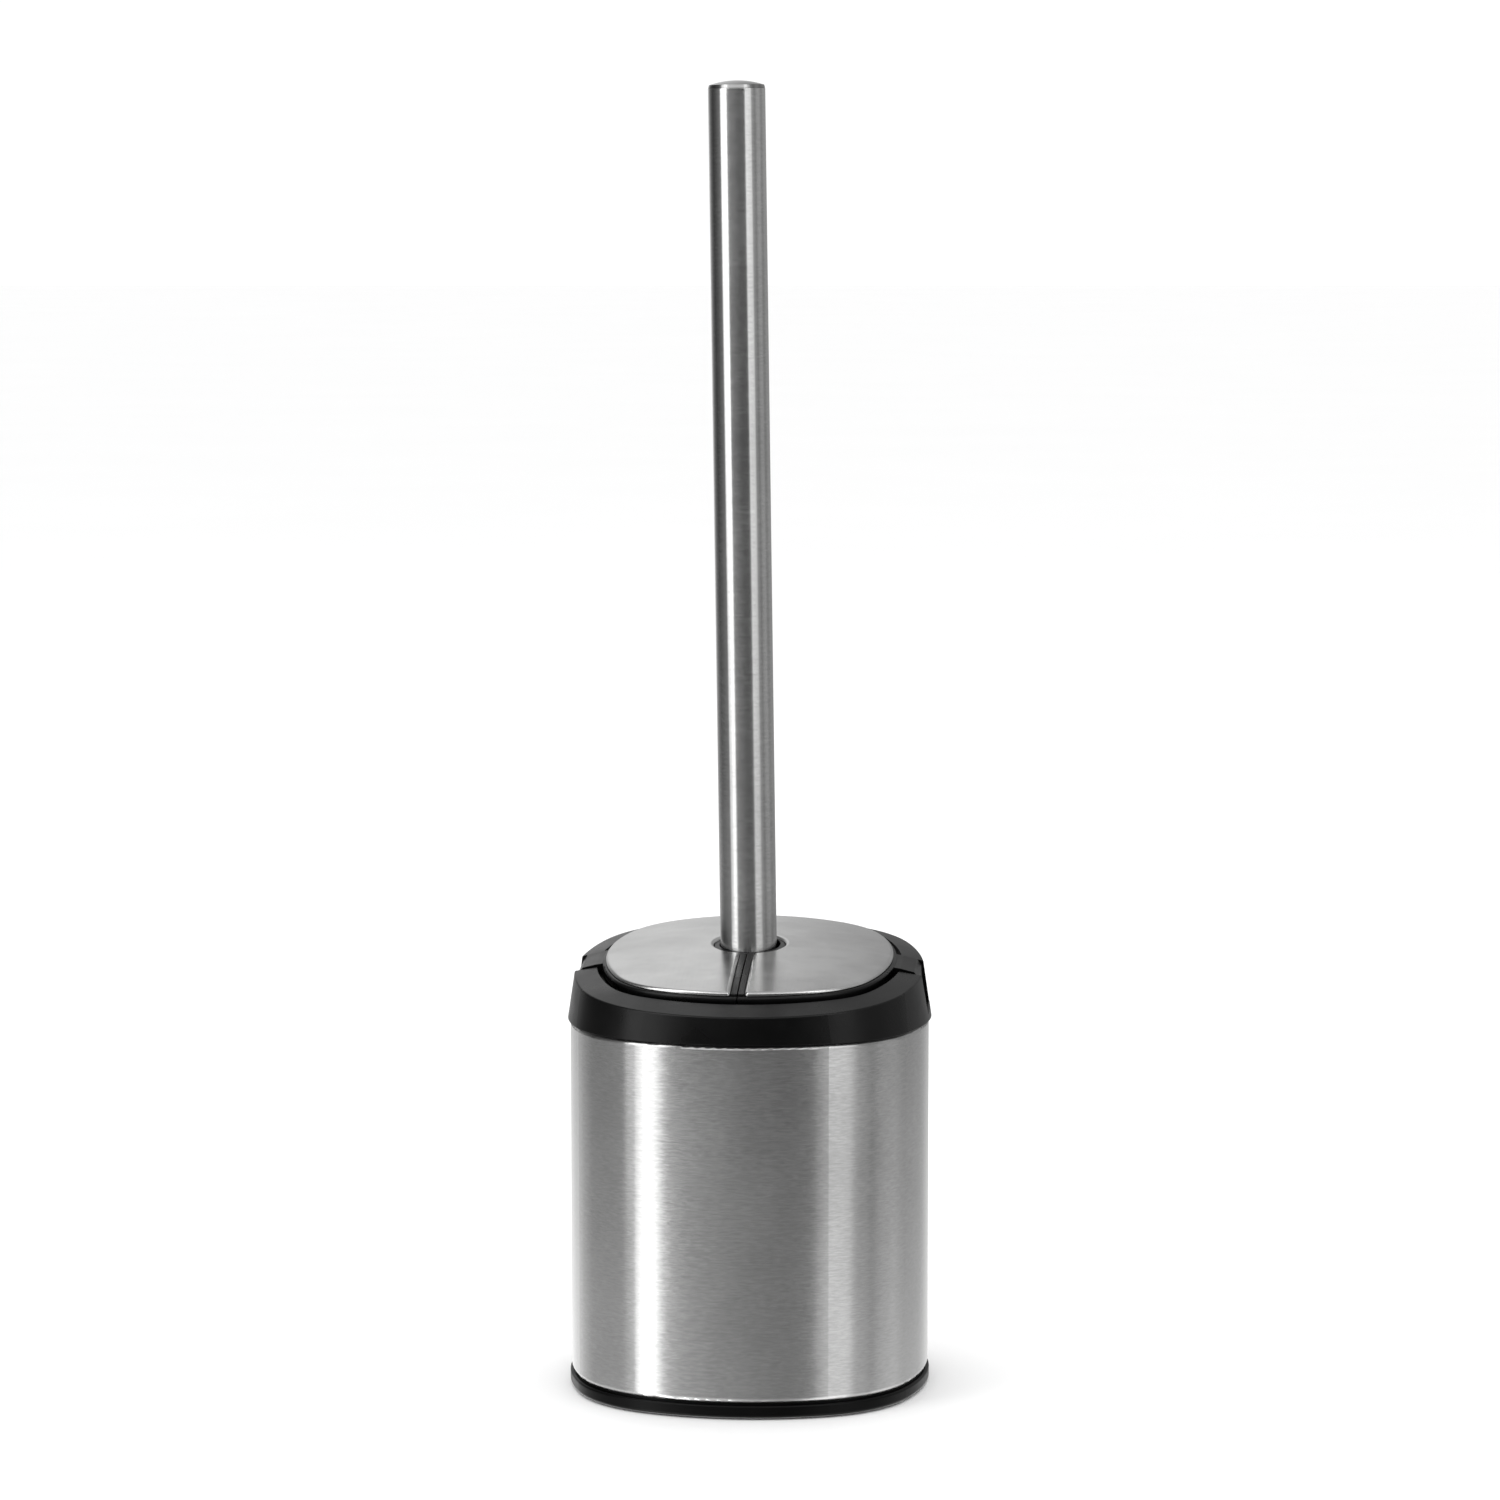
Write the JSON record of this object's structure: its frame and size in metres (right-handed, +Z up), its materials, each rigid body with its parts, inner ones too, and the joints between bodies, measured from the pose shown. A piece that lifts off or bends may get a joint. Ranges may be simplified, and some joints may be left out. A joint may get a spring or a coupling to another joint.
{
  "type": "toilet brush holder",
  "caption": "Free-standing toilet brush holder with a steel sleeve, black collar and foot, a two-wing lid that opens as the brush is lifted, and a brush with a steel tube handle.",
  "frame": {"origin": "on the floor under the centre of the holder", "axes": "+Z up, the front with the lower edge of the lid faces -Y, the lid wings hinge on the -X and +X sides"},
  "size_m": [0.1222, 0.1222, 0.4365],
  "materials": {
    "black_plastic": "fine matt moulded texture",
    "sleeve_steel": "brushed around the sleeve",
    "plate_steel": "fine satin, nearly polished",
    "handle_steel": "fine brushed around the tube",
    "pin_steel": "bright drawn",
    "bucket_plastic": "smooth moulded",
    "core_plastic": "smooth moulded",
    "bristle_nylon": "crimped nylon tufts",
    "pad_rubber": "soft matt",
    "foam_tape": "closed-cell foam"
  },
  "bodies": {
    "holder": {"base_foot": "black_plastic", "foot_pads": "pad_rubber", "outer_sleeve": "sleeve_steel", "inner_bucket": "bucket_plastic", "top_ring": "black_plastic", "left_hinge_pin": "pin_steel", "right_hinge_pin": "pin_steel"},
    "left_wing": {"left_wing_base": "black_plastic", "left_wing_plate": "plate_steel", "left_plate_tape": "foam_tape", "left_wing_bumpers": "pad_rubber"},
    "right_wing": {"right_wing_base": "black_plastic", "right_wing_plate": "plate_steel", "right_plate_tape": "foam_tape", "right_wing_bumpers": "pad_rubber"},
    "brush": {"handle_tube": "handle_steel", "handle_cap": "handle_steel", "handle_plug": "core_plastic", "head_stud": "pin_steel", "head_washer": "pad_rubber", "brush_core": "core_plastic", "bristles": "bristle_nylon"}
  },
  "joints": [
    {"name": "brush_lift", "type": "slide", "parent": "holder", "child": "brush", "axis": [-0.014, 0, 0.9999], "range_m": [0, 0.14]},
    {"name": "left_wing_hinge", "type": "hinge", "parent": "holder", "child": "left_wing", "pos_m": [-0.0545, 0.00079, 0.13595], "axis": [0, -0.9928, -0.1201], "range_deg": [0, 90]},
    {"name": "right_wing_hinge", "type": "hinge", "parent": "holder", "child": "right_wing", "pos_m": [0.0545, 0.00079, 0.13595], "axis": [0, 0.9928, 0.1201], "range_deg": [0, 90]}
  ],
  "couplings": [
    {"joint": "left_wing_hinge", "follows": "brush_lift", "rad_per_m": 11.2},
    {"joint": "right_wing_hinge", "follows": "brush_lift", "rad_per_m": 11.2}
  ]
}
